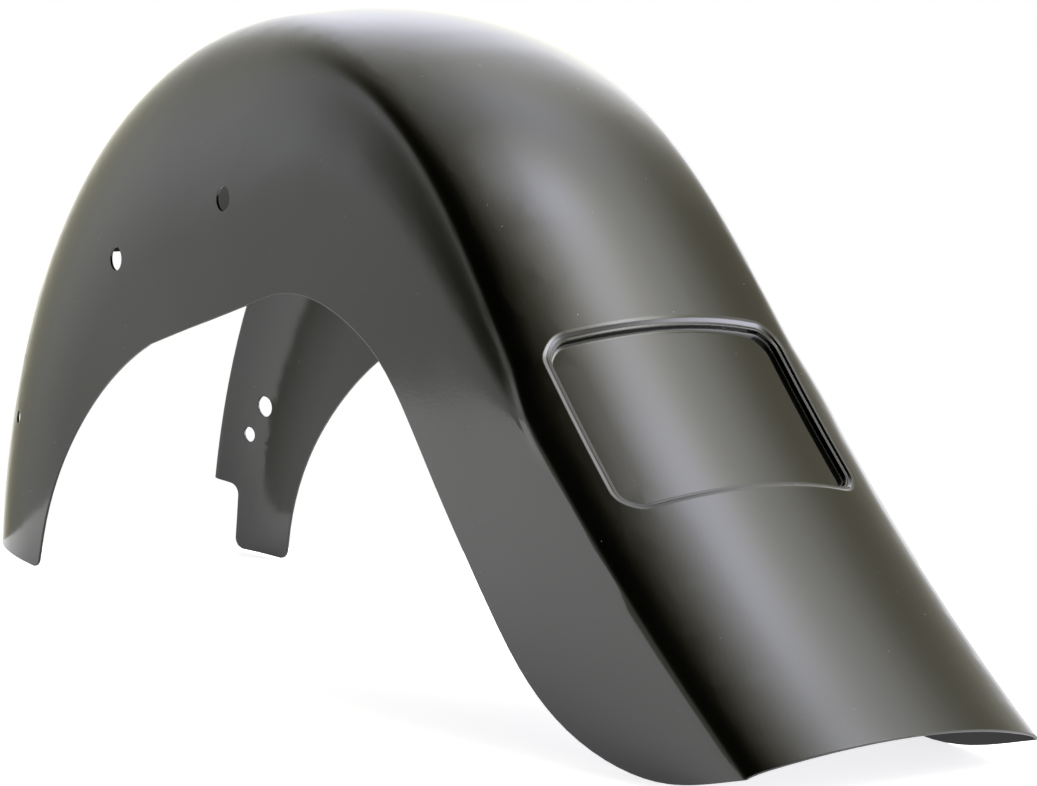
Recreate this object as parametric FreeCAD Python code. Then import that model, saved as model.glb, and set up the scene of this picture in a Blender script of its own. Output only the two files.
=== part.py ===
import FreeCAD, Part
import math
import os

# A stretched rear fender for a cruiser motorcycle: one pressed and welded shell
# of sheet steel, with a sunk plate pocket in its tail.
# Millimetres. +X runs back to the tail, +Y to the right-hand side of the
# motorcycle and +Z up. The fender stands on its tail and its right-hand toe,
# and the origin is in the middle of its footprint, on the ground.
# A station is a length along the centre line of the crown, counted back from
# the crown's top. A depth is measured inwards from that line, square to it.

# Sheet
sheet = 1.6
half_width = 112.0

# Centre line of the crown
front_radius = 401.0
leg_radius = 441.0
leg_blend_start = -358.0
leg_blend_end = -470.0
rear_radius = 329.0
flip_radius = 1421.0
flip_blend_start = 190.0
flip_blend_end = 416.0
stand_pitch = 2.32
front_end = -670.0
tail_end = 695.0
tail_bow_radius = 812.0
line_overrun = 205.0

# Width along the fender
leg_taper = 8.2
leg_taper_start = -112.0
leg_taper_end = -560.0
tail_taper = 3.9
tail_taper_start = 336.0
tail_taper_end = 694.0

# Section over the wheel: a soft shoulder
front_crown_radius = 300.0
shoulder_width = 55.7
shoulder_depth = 123.7

# Section of the tail: a crisp fold, with a style line where it starts
rear_crown_radius = 250.0
fold_width = 16.5
fold_depth = 11.5
soft_end = -73.0
crisp_start = 185.0
style_start = 151.0
style_end = 418.0
style_inset = 13.7
style_height = 40.0
panel_depth = 222.0

# Lower edge of both side panels, as station and depth
leg_edge = [(-592.0, 131.0), (-524.0, 140.0), (-433.0, 159.0), (-302.0, 183.0), (-221.0, 193.0)]
arch_edge = [(82.0, 179.5), (117.0, 170.6), (160.0, 160.4), (238.0, 143.7), (296.0, 131.0), (375.0, 129.1),
             (472.0, 135.7), (520.0, 137.4), (554.0, 132.0), (602.0, 111.2), (641.0, 82.0), (690.0, 25.0),
             (714.0, 0.0)]

# Toes of the two legs
toe_depth = 128.5
toe_corner = 8.0
left_toe = -610.0
right_toe = -625.0
notch = -569.0
tab_depth = 71.0
notch_corner = 8.0

# Cut-out in the front of the crown, for the frame
cutout_top = -392.0
cutout_half_width = 88.0
cutout_corner = 36.0

# Holes, as station and depth
strut_hole = 16.0
strut_holes = [(-19.0, 123.0), (-234.0, 123.0)]
left_leg_hole = 9.5
left_leg_hole_at = (-494.0, 65.0)
right_leg_hole = 15.0
right_leg_hole_at = (-488.0, 84.0)
right_leg_small_hole = 11.0
right_leg_small_hole_at = (-520.0, 74.5)

# Plate pocket, sunk into the crown: a soft step, a ledge and a steep wall
pocket_top = 375.0
pocket_bottom = 504.5
pocket_half_width = 90.0
pocket_corner = 20.0
step_width = 4.4
step_depth = 2.5
ledge_width = 0.6
wall_width = 3.0
pocket_depth = 6.65

STEP = 2.0


def ease(value):
    t = min(max(value, 0.0), 1.0)
    return t * t * (3.0 - 2.0 * t)


def mix(a, b, t):
    return a + (b - a) * t


def curvature(station):
    if station < 0.0:
        t = ease((leg_blend_start - station) / (leg_blend_start - leg_blend_end))
        return mix(1.0 / front_radius, 1.0 / leg_radius, t)
    t = ease((station - flip_blend_start) / (flip_blend_end - flip_blend_start))
    return mix(1.0 / rear_radius, -1.0 / flip_radius, t)


def walk_centre_line(end):
    # Short chords from the crown's top to one end
    x, z, heading = 0.0, 0.0, -math.radians(stand_pitch)
    step = math.copysign(STEP, end)
    points = [(x, z, heading)]
    for i in range(int(abs(end) / STEP) + 2):
        turn = curvature((i + 0.5) * step) * step
        x += step * math.cos(heading + 0.5 * turn)
        z -= step * math.sin(heading + 0.5 * turn)
        heading += turn
        points.append((x, z, heading))
    return points


BACK = walk_centre_line(tail_end + line_overrun)
FRONT = walk_centre_line(front_end - line_overrun)


def centre_line(station):
    table = BACK if station >= 0.0 else FRONT
    i = int(abs(station) / STEP)
    t = abs(station) / STEP - i
    return tuple(mix(a, b, t) for a, b in zip(table[i], table[i + 1]))


def place(station, depth, y=0.0):
    x, z, heading = centre_line(station)
    return FreeCAD.Vector(x - depth * math.sin(heading), y, z - depth * math.cos(heading))


def half_width_at(station):
    leg = ease((leg_taper_start - station) / (leg_taper_start - leg_taper_end))
    tail = ease((station - tail_taper_start) / (tail_taper_end - tail_taper_start))
    return half_width - leg_taper * leg - tail_taper * tail


def crown_poles(radius, y_end):
    sweep = math.asin(y_end / radius)
    reach = radius * (1.0 + (sweep / 4.0) ** 2 / 6.0)
    poles = [(reach * math.sin(sweep * i / 4.0), radius - reach * math.cos(sweep * i / 4.0)) for i in range(5)]
    return poles, sweep, radius * (1.0 - math.cos(sweep))


def soft_poles(station):
    edge = half_width_at(station)
    y_end = edge - shoulder_width
    poles, sweep, depth = crown_poles(front_crown_radius, y_end)
    for i in range(1, 7):
        angle = mix(sweep, math.pi / 2.0, i / 6.0)
        across = (math.sin(angle) - math.sin(sweep)) / (1.0 - math.sin(sweep))
        down = (math.cos(sweep) - math.cos(angle)) / math.cos(sweep)
        poles.append((y_end + shoulder_width * across, depth + shoulder_depth * down))
    poles += [(edge, depth + shoulder_depth + 17.0), (edge, depth + shoulder_depth + 45.0), (edge, panel_depth)]
    return poles


def crisp_poles(station):
    edge = half_width_at(station)
    along = min(max((station - style_start) / (style_end - style_start), 0.0), 1.0)
    inset = style_inset * math.sqrt(1.0 - along)
    drop = style_height * (1.0 - along)
    fold = edge - inset
    poles, sweep, depth = crown_poles(rear_crown_radius, fold - fold_width)
    slope = math.tan(sweep)
    foot = depth + fold_depth
    corner = depth + min(slope * fold_width + 0.2 * fold_depth, 0.75 * fold_depth)
    poles += [(fold - 0.35 * fold_width, depth + 0.65 * slope * fold_width), (fold, corner), (fold, foot)]
    poles += [(fold + 0.12 * inset, foot + 2.2 + 0.1 * drop), (fold + 0.55 * inset, foot + 4.5 + 0.4 * drop)]
    poles += [(fold + 0.9 * inset, foot + 6.7 + 0.75 * drop), (edge, foot + 11.0 + 1.1 * drop)]
    poles += [(edge, foot + 56.0 + 1.1 * drop), (edge, panel_depth)]
    return poles


def half_section(station):
    # From the middle of the crown down one side, as distance out and depth
    t = ease((station - soft_end) / (crisp_start - soft_end))
    pairs = zip(soft_poles(station), crisp_poles(station))
    return [(mix(a[0], b[0], t), mix(a[1], b[1], t)) for a, b in pairs]


def inner_half(half):
    # The same run of poles, one sheet further in
    beyond = [(-half[1][0], half[1][1])] + half + [(half[-1][0], half[-1][1] + 10.0)]
    inner = []
    for before, (y, depth), after in zip(beyond, half, beyond[2:]):
        out, down = after[0] - before[0], after[1] - before[1]
        scale = sheet / math.hypot(out, down)
        inner.append((y - down * scale, depth + out * scale))
    return inner


def both_sides(station, half):
    points = [place(station, depth, -y) for y, depth in reversed(half[1:])]
    return points + [place(station, depth, y) for y, depth in half]


def spread(*runs):
    # Even steps through runs of (start, end, number of steps)
    values = []
    for start, end, steps in runs:
        values += [mix(start, end, i / steps) for i in range(steps)]
    return values + [runs[-1][1]]


def surface_through(rows, values):
    # A smooth surface whose rows of poles pass through the given rows
    columns = []
    for column in zip(*rows):
        curve = Part.BSplineCurve()
        curve.interpolate(Points=list(column), Parameters=values)
        columns.append(curve)
    spans = len(columns) - 3
    mults = [4] + [1] * (spans - 1) + [4]
    first = columns[0]
    surface = Part.BSplineSurface()
    surface.buildFromPolesMultsKnots([c.getPoles() for c in columns], mults, first.getMultiplicities(),
                                     [float(i) for i in range(spans + 1)], first.getKnots(), False, False, 3, 3)
    return surface


def between(upper, lower):
    # The solid between two surfaces with matching borders
    faces = [upper.toShape(), lower.toShape()]
    for a, b in zip(faces[0].Edges, faces[1].Edges):
        faces.append(Part.makeRuledSurface(a, b, 1))
    shell = Part.Shell(faces)
    shell.sewShape()
    solid = Part.Solid(shell)
    if solid.Volume < 0.0:
        solid.reverse()
    return solid


def skins():
    stations = spread((front_end, soft_end, 14), (soft_end, style_start, 5), (style_start, style_end, 9),
                      (style_end, tail_end + 5.0, 8))
    halves = [half_section(s) for s in stations]
    outer = surface_through([both_sides(s, half) for s, half in zip(stations, halves)], stations)
    inner = surface_through([both_sides(s, inner_half(half)) for s, half in zip(stations, halves)], stations)
    return outer, inner


def rounded(corners):
    # Straight runs through (point, radius) corners, joined by tangent arcs
    edges = []
    last = corners[0][0]
    for i in range(1, len(corners) - 1):
        point, radius = corners[i]
        back = (corners[i - 1][0] - point).normalize()
        ahead = (corners[i + 1][0] - point).normalize()
        half = back.getAngle(ahead) / 2.0
        reach = radius / math.tan(half)
        middle = point + (back + ahead).normalize() * (radius / math.sin(half) - radius)
        start = point + back * reach
        end = point + ahead * reach
        edges.append(Part.LineSegment(last, start).toShape())
        edges.append(Part.Arc(start, middle, end).toShape())
        last = end
    edges.append(Part.LineSegment(last, corners[-1][0]).toShape())
    return edges


def spline(points):
    curve = Part.BSplineCurve()
    curve.interpolate(points)
    return curve.toShape()


def below_panel(toe, side):
    # All that lies under one side panel, as a slab to cut away
    leg = [place(s, d) for s, d in leg_edge]
    arch = [place(s, d) for s, d in arch_edge]
    edges = rounded(toe + [(leg[0], 0.0)])
    edges += [spline(leg), Part.LineSegment(leg[-1], arch[0]).toShape(), spline(arch)]
    start = toe[0][0]
    floor = place(0.0, 0.0).z - 900.0
    back = FreeCAD.Vector(arch[-1].x, 0.0, floor)
    front = FreeCAD.Vector(start.x, 0.0, floor)
    for a, b in ((arch[-1], back), (back, front), (front, start)):
        edges.append(Part.LineSegment(a, b).toShape())
    face = Part.Face(Part.Wire(edges))
    return face.extrude(FreeCAD.Vector(0.0, side * (half_width + 20.0), 0.0))


def left_toe_corners():
    return [(place(left_toe, -60.0), 0.0), (place(left_toe, toe_depth), toe_corner)]


def right_toe_corners():
    return [(place(notch, -60.0), 0.0), (place(notch, tab_depth), notch_corner),
            (place(right_toe, tab_depth), toe_corner), (place(right_toe, toe_depth), toe_corner)]


def front_cutout():
    top = place(cutout_top, 0.0)
    low = top.z - 600.0
    front = top.x - 200.0
    half = cutout_half_width
    corner = cutout_corner

    def at(y, z):
        return FreeCAD.Vector(front, y, z)

    edges = rounded([
        (at(-half, low), 0.0),
        (at(-half, top.z), corner),
        (at(half, top.z), corner),
        (at(half, low), 0.0),
    ])
    edges.append(Part.LineSegment(at(half, low), at(-half, low)).toShape())
    return Part.Face(Part.Wire(edges)).extrude(FreeCAD.Vector(300.0, 0.0, 0.0))


def hole(skin, where, diameter, side):
    # Square to the sheet, where the station and depth meet the skin
    station, depth = where
    top = place(station, 0.0)
    down = place(station, 1.0) - top
    middle = 0.5 * skin.getUKnots()[-1]
    near, far = middle, middle * (1.0 + side)
    for i in range(40):
        u = 0.5 * (near + far)
        if (skin.value(u, station) - top).dot(down) < depth:
            near = u
        else:
            far = u
    out = skin.normal(u, station)
    return Part.makeCylinder(diameter / 2.0, 40.0, skin.value(u, station) - out * 20.0, out)


def tail_cut():
    # All that lies behind the bowed end of the tail
    end = place(tail_end, 0.0)
    out = place(tail_end, -1.0) - end
    along = FreeCAD.Vector(0.0, 1.0, 0.0).cross(out)
    reach = half_width + 20.0
    bow = tail_bow_radius - math.sqrt(tail_bow_radius ** 2 - reach ** 2)

    def at(a, y):
        return end + along * a + FreeCAD.Vector(0.0, y, 0.0) + out * 30.0

    edges = [Part.Arc(at(-bow, -reach), at(0.0, 0.0), at(-bow, reach)).toShape()]
    corners = [at(-bow, reach), at(40.0, reach), at(40.0, -reach), at(-bow, -reach)]
    for a, b in zip(corners, corners[1:]):
        edges.append(Part.LineSegment(a, b).toShape())
    return Part.Face(Part.Wire(edges)).extrude(out * -120.0)


def on_crown(station, y, depth):
    drop = rear_crown_radius - math.sqrt(rear_crown_radius ** 2 - y ** 2)
    return place(station, drop + depth, y)


def crown_slab(start, end):
    # The space between two depths under the crown, around the pocket
    reach = pocket_half_width + 16.0
    stations = spread((pocket_top - 20.0, pocket_bottom + 20.0, 4))
    faces = []
    for depth in (start, end):
        surface = Part.BSplineSurface()
        surface.interpolate([[on_crown(s, y, depth) for y in spread((-reach, reach, 8))] for s in stations])
        faces.append(surface)
    return between(*faces)


def off_crown(station, y, height):
    # Over or under the crown, on a plane square to the middle of the pocket
    middle = mix(pocket_top, pocket_bottom, 0.5)
    origin = place(middle, 0.0)
    out = place(middle, -1.0) - origin
    along = FreeCAD.Vector(0.0, 1.0, 0.0).cross(out)
    return origin + along * (station - middle) + FreeCAD.Vector(0.0, y, 0.0) + out * height


def smooth_run(at, steps):
    # A curve through at(0) to at(1), with its true direction at both ends
    curve = Part.BSplineCurve()
    curve.interpolate(Points=[at(i / steps) for i in range(steps + 1)],
                      InitialTangent=(at(0.001) - at(0.0)).normalize(),
                      FinalTangent=(at(1.0) - at(0.999)).normalize())
    return curve.toShape()


def pocket_outline(inset, lift):
    # A rounded rectangle, with lift(station, y) as its place in space
    corner = pocket_corner - inset
    low, high = pocket_top + pocket_corner, pocket_bottom - pocket_corner
    side = pocket_half_width - pocket_corner
    turns = [(high, side, 0.0), (low, side, 90.0), (low, -side, 180.0), (high, -side, 270.0)]
    edges = []
    for (station, y, turn), (next_station, next_y, next_turn) in zip(turns, turns[1:] + turns[:1]):

        def bend(t):
            angle = math.radians(turn + 90.0 * t)
            return lift(station + corner * math.cos(angle), y + corner * math.sin(angle))

        def straight(t):
            angle = math.radians(next_turn)
            a, b = mix(station, next_station, t), mix(y, next_y, t)
            return lift(a + corner * math.cos(angle), b + corner * math.sin(angle))

        edges += [smooth_run(bend, 3), smooth_run(straight, 4)]
    return Part.Wire(edges)


def plug(profile, start, end):
    # What (inset, depth) pairs enclose of the crown between two depths
    wires = [pocket_outline(profile[0][0], lambda s, y: off_crown(s, y, 30.0))]
    for inset, depth in profile:
        wires.append(pocket_outline(inset, lambda s, y: on_crown(s, y, depth)))
    wires.append(pocket_outline(profile[-1][0], lambda s, y: off_crown(s, y, -60.0)))
    return crown_slab(start, end).common(Part.makeLoft(wires, True, True)).Solids[0]


def pocket_profile():
    # From above the crown, over the soft lip and the ledge, down to the floor
    lip = [(-0.7, -1.0), (-0.12, -0.06), (0.4, 0.22), (0.68, 0.7), (0.86, 0.96)]
    wall = [(0.0, 0.0), (0.16, 0.08), (0.34, 0.74), (0.47, 0.89), (1.1, 1.06)]
    foot = step_width + ledge_width
    fall = pocket_depth - step_depth
    profile = [(a * step_width, b * step_depth) for a, b in lip]
    return profile + [(foot + a * wall_width, step_depth + b * fall) for a, b in wall]


def add_pocket(shell):
    lap = 0.5 * sheet

    def plate(inset, depth):
        return plug([(inset, -5.0), (inset, depth + 5.0)], lap, depth)

    rim = plate(-sheet, step_depth + sheet)
    pan = plate(step_width + ledge_width - sheet, pocket_depth + sheet)
    well = plug(pocket_profile(), -0.2 * step_depth, pocket_depth)
    return shell.fuse([rim, pan]).cut(well)


def build():
    outer, inner = skins()
    shell = add_pocket(between(outer, inner))
    cutters = [
        below_panel(left_toe_corners(), -1.0),
        below_panel(right_toe_corners(), 1.0),
        front_cutout(),
        tail_cut(),
    ]
    for where in strut_holes:
        cutters += [hole(outer, where, strut_hole, side) for side in (-1.0, 1.0)]
    cutters.append(hole(outer, left_leg_hole_at, left_leg_hole, -1.0))
    cutters.append(hole(outer, right_leg_hole_at, right_leg_hole, 1.0))
    cutters.append(hole(outer, right_leg_small_hole_at, right_leg_small_hole, 1.0))
    return shell.cut(cutters).Solids[0]


fender = build()
box = FreeCAD.BoundBox()
for point in fender.tessellate(0.1)[0]:
    box.add(point)
fender.translate(FreeCAD.Vector(-box.Center.x, -box.Center.y, -box.ZMin))
os.makedirs("parts", exist_ok=True)
fender.exportStep("parts/fender_shell.step")
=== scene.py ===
import math

import bpy
from mathutils import Matrix, Vector

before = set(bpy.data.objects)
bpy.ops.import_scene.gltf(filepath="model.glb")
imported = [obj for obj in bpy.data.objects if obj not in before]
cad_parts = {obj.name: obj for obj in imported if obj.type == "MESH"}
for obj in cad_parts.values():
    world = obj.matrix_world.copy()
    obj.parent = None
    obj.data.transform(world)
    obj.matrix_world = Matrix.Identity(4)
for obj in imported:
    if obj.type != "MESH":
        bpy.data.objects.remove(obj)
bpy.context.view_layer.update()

# Camera of the photograph: its place in metres and its turns in degrees. On the level,
# AWAY points from the camera to the fender, and ACROSS to the right in the picture.
IMAGE_WIDTH = 1037
FOCAL_PIXELS = 4214.3
SENSOR = 36.0
CAMERA_PLACE = Vector((2.1863, -1.5305, 0.5179))
CAMERA_AZIMUTH = math.radians(144.282)
CAMERA_PITCH = math.radians(-7.343)
CAMERA_ROLL = math.radians(1.361)
AWAY = Vector((math.cos(CAMERA_AZIMUTH), math.sin(CAMERA_AZIMUTH), 0.0))
ACROSS = Vector((math.sin(CAMERA_AZIMUTH), -math.cos(CAMERA_AZIMUTH), 0.0))
UP = Vector((0.0, 0.0, 1.0))

# Soft lamps of the studio: azimuth, elevation and spread in degrees, strength, and how
# much bluer than green the light is
LAMPS = {
    "main": (33.0, 45.0, 9.5, 14.5, 1.08),
    "main_spill": (69.0, 46.0, 10.0, 2.2, 1.05),
    "overhead": (62.0, 66.0, 8.0, 5.5, 1.15),
    "overhead_far": (107.0, 60.0, 13.0, 2.6, 1.1),
    "far_wall": (148.0, 30.0, 17.0, 2.7, 1.12),
    "far_wall_low": (153.0, -11.0, 11.0, 2.7, 1.0),
    "right_wall": (124.0, 9.0, 8.0, 2.0, 1.15),
    "near_wall": (-150.0, 9.0, 20.0, 1.45, 1.0),
    "low_behind": (54.0, -12.0, 21.0, 9.5, 1.15),
}
# The glow of a lamp spreads a little wider in red, and less wide in blue, than in green
RED_SPREAD, RED_STRENGTH = 1.01, 0.985
BLUE_SPREAD = 0.94
# The backdrop that the camera sees
SEEN_WHITE = (1.0, 1.0, 1.0, 1.0)

# Pale floor, squared to the view: how far it reaches away from the camera and toward it,
# to the left and to the right, in metres, its tone and its own glow
FLOOR_FAR, FLOOR_NEAR = 0.42, -1.6
FLOOR_LEFT, FLOOR_RIGHT = -1.45, 1.5
FLOOR_COLOUR = (0.8, 0.8, 0.8, 1.0)
FLOOR_ROUGHNESS = 0.8
FLOOR_GLOW_COLOUR = (0.97, 0.97, 1.0, 1.0)
FLOOR_GLOW = 0.8

# Satin black coat. Scales are counts in a metre, depths and the radius are in metres, and
# a grain's core and rim are parts of its cell. Clouds and smears take the values of their
# noise between LOW and HIGH.
COAT_DARK = (0.0006, 0.0006, 0.0005, 1.0)
COAT_PALE = (0.0016, 0.0016, 0.0012, 1.0)
COAT_IOR = 1.5
CLOUD_SCALE, CLOUD_DETAIL = 7.0, 4.0
CLOUD_LOW, CLOUD_HIGH = 0.3, 0.7
GRAIN_SCALE = 85.0
GRAIN_CORE, GRAIN_RIM = 0.012, 0.032
GRAIN_COLOUR = (0.33, 0.33, 0.31, 1.0)
GRAIN_ROUGHNESS = 0.35
SMEAR_SCALE, SMEAR_DETAIL, SMEAR_BREAKUP = 16.0, 6.0, 0.6
SMEAR_LOW, SMEAR_HIGH = 0.35, 0.7
ROUGHNESS_LOW, ROUGHNESS_HIGH = 0.09, 0.13
EDGE_RADIUS, EDGE_SAMPLES = 0.0009, 6
WAVE_SCALE, WAVE_DETAIL, WAVE_DEPTH = 6.5, 1.0, 0.0012
PEEL_SCALE, PEEL_DETAIL, PEEL_DEPTH = 420.0, 2.0, 0.000012


def make_camera():
    data = bpy.data.cameras.new("camera")
    data.sensor_width = SENSOR
    data.lens = SENSOR * FOCAL_PIXELS / IMAGE_WIDTH
    camera = bpy.data.objects.new("camera", data)
    forward = AWAY * math.cos(CAMERA_PITCH) + UP * math.sin(CAMERA_PITCH)
    upright = ACROSS.cross(forward)
    right = ACROSS * math.cos(CAMERA_ROLL) + upright * math.sin(CAMERA_ROLL)
    up = right.cross(forward)
    turn = Matrix((right, up, -forward)).transposed().to_4x4()
    camera.matrix_world = Matrix.Translation(CAMERA_PLACE) @ turn
    bpy.context.collection.objects.link(camera)
    bpy.context.scene.camera = camera


def make_floor():
    mesh = bpy.data.meshes.new("floor")
    corners = [
        AWAY * FLOOR_NEAR + ACROSS * FLOOR_LEFT,
        AWAY * FLOOR_NEAR + ACROSS * FLOOR_RIGHT,
        AWAY * FLOOR_FAR + ACROSS * FLOOR_RIGHT,
        AWAY * FLOOR_FAR + ACROSS * FLOOR_LEFT,
    ]
    mesh.from_pydata(corners, [], [(0, 1, 2, 3)])
    floor = bpy.data.objects.new("floor", mesh)
    bpy.context.collection.objects.link(floor)
    material = bpy.data.materials.new("floor")
    material.use_nodes = True
    shader = material.node_tree.nodes["Principled BSDF"]
    shader.inputs["Base Color"].default_value = FLOOR_COLOUR
    shader.inputs["Roughness"].default_value = FLOOR_ROUGHNESS
    shader.inputs["Specular IOR Level"].default_value = 0.0
    shader.inputs["Emission Color"].default_value = FLOOR_GLOW_COLOUR
    shader.inputs["Emission Strength"].default_value = FLOOR_GLOW
    mesh.materials.append(material)


def node(nodes, kind, **settings):
    made = nodes.new(kind)
    for name, value in settings.items():
        setattr(made, name, value)
    return made


def maths(nodes, links, operation, *values):
    made = node(nodes, "ShaderNodeMath", operation=operation)
    for socket, value in zip(made.inputs, values):
        if isinstance(value, (int, float)):
            socket.default_value = value
        else:
            links.new(value, socket)
    return made.outputs[0]


# Each lamp glows most in its own direction and fades evenly around it
def make_world():
    world = bpy.data.worlds.new("studio")
    bpy.context.scene.world = world
    world.use_nodes = True
    nodes, links = world.node_tree.nodes, world.node_tree.links
    nodes.clear()
    coord = node(nodes, "ShaderNodeTexCoord")
    red, green, blue = 0.0, 0.0, 0.0
    for azimuth, elevation, spread, strength, blueness in LAMPS.values():
        a, e = math.radians(azimuth), math.radians(elevation)
        lamp = (math.cos(a) * math.cos(e), math.sin(a) * math.cos(e), math.sin(e))
        toward = node(nodes, "ShaderNodeVectorMath", operation="DOT_PRODUCT")
        toward.inputs[1].default_value = lamp
        links.new(coord.outputs["Generated"], toward.inputs[0])
        below = maths(nodes, links, "SUBTRACT", toward.outputs["Value"], 1.0)

        def glow(width, power, total):
            fall = maths(nodes, links, "MULTIPLY", below, 1.0 / math.radians(width) ** 2)
            shine = maths(nodes, links, "EXPONENT", fall)
            return maths(nodes, links, "MULTIPLY_ADD", shine, power, total)

        red = glow(spread * RED_SPREAD, strength * RED_STRENGTH, red)
        green = glow(spread, strength, green)
        blue = glow(spread * BLUE_SPREAD, strength * blueness, blue)
    colour = node(nodes, "ShaderNodeCombineXYZ")
    for socket, value in zip(colour.inputs, (red, green, blue)):
        links.new(value, socket)
    background = node(nodes, "ShaderNodeBackground")
    links.new(colour.outputs[0], background.inputs["Color"])
    white = node(nodes, "ShaderNodeBackground")
    white.inputs["Color"].default_value = SEEN_WHITE
    path = node(nodes, "ShaderNodeLightPath")
    mix = node(nodes, "ShaderNodeMixShader")
    out = node(nodes, "ShaderNodeOutputWorld")
    links.new(path.outputs["Is Camera Ray"], mix.inputs["Fac"])
    links.new(background.outputs[0], mix.inputs[1])
    links.new(white.outputs[0], mix.inputs[2])
    links.new(mix.outputs[0], out.inputs["Surface"])


def coat_material():
    material = bpy.data.materials.new("coat")
    material.use_nodes = True
    nodes, links = material.node_tree.nodes, material.node_tree.links
    shader = nodes["Principled BSDF"]
    coord = node(nodes, "ShaderNodeTexCoord")

    def noise(scale, detail, roughness=0.5):
        made = node(nodes, "ShaderNodeTexNoise")
        made.inputs["Scale"].default_value = scale
        made.inputs["Detail"].default_value = detail
        made.inputs["Roughness"].default_value = roughness
        links.new(coord.outputs["Object"], made.inputs["Vector"])
        return made.outputs["Fac"]

    def span(value, low, high, to_low, to_high):
        made = node(nodes, "ShaderNodeMapRange")
        made.inputs["From Min"].default_value = low
        made.inputs["From Max"].default_value = high
        made.inputs["To Min"].default_value = to_low
        made.inputs["To Max"].default_value = to_high
        links.new(value, made.inputs["Value"])
        return made.outputs[0]

    def blend(factor, first, second):
        made = node(nodes, "ShaderNodeMix", data_type="RGBA")
        links.new(factor, made.inputs["Factor"])
        if isinstance(first, tuple):
            made.inputs["A"].default_value = first
        else:
            links.new(first, made.inputs["A"])
        made.inputs["B"].default_value = second
        return made.outputs["Result"]

    def bump(height, depth, normal):
        made = node(nodes, "ShaderNodeBump")
        made.inputs["Strength"].default_value = 1.0
        made.inputs["Distance"].default_value = depth
        links.new(height, made.inputs["Height"])
        links.new(normal, made.inputs["Normal"])
        return made.outputs["Normal"]

    # Cured black primer: slightly olive, with faint cloudy patches
    clouds = span(noise(CLOUD_SCALE, CLOUD_DETAIL), CLOUD_LOW, CLOUD_HIGH, 0.0, 1.0)
    tone = blend(clouds, COAT_DARK, COAT_PALE)

    # Grains of dust caught in the coat
    grains = node(nodes, "ShaderNodeTexVoronoi", feature="F1")
    grains.inputs["Scale"].default_value = GRAIN_SCALE
    links.new(coord.outputs["Object"], grains.inputs["Vector"])
    grain = span(grains.outputs["Distance"], GRAIN_CORE, GRAIN_RIM, 1.0, 0.0)
    links.new(blend(grain, tone, GRAIN_COLOUR), shader.inputs["Base Color"])

    # Wiped patches and grains change the gloss
    streaks = noise(SMEAR_SCALE, SMEAR_DETAIL, SMEAR_BREAKUP)
    smears = span(streaks, SMEAR_LOW, SMEAR_HIGH, ROUGHNESS_LOW, ROUGHNESS_HIGH)
    gloss = maths(nodes, links, "MULTIPLY_ADD", grain, GRAIN_ROUGHNESS, smears)
    links.new(gloss, shader.inputs["Roughness"])

    # Edges that the coat has rounded, slow waves of the sheet, and the coat's fine peel
    edges = node(nodes, "ShaderNodeBevel", samples=EDGE_SAMPLES)
    edges.inputs["Radius"].default_value = EDGE_RADIUS
    waves = bump(noise(WAVE_SCALE, WAVE_DETAIL), WAVE_DEPTH, edges.outputs["Normal"])
    peel = bump(noise(PEEL_SCALE, PEEL_DETAIL), PEEL_DEPTH, waves)
    links.new(peel, shader.inputs["Normal"])
    shader.inputs["IOR"].default_value = COAT_IOR
    return material


make_camera()
make_floor()
make_world()
bpy.context.scene.view_settings.view_transform = "Standard"
coat = coat_material()
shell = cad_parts["fender_shell"]
for slot in shell.material_slots:
    slot.material = coat
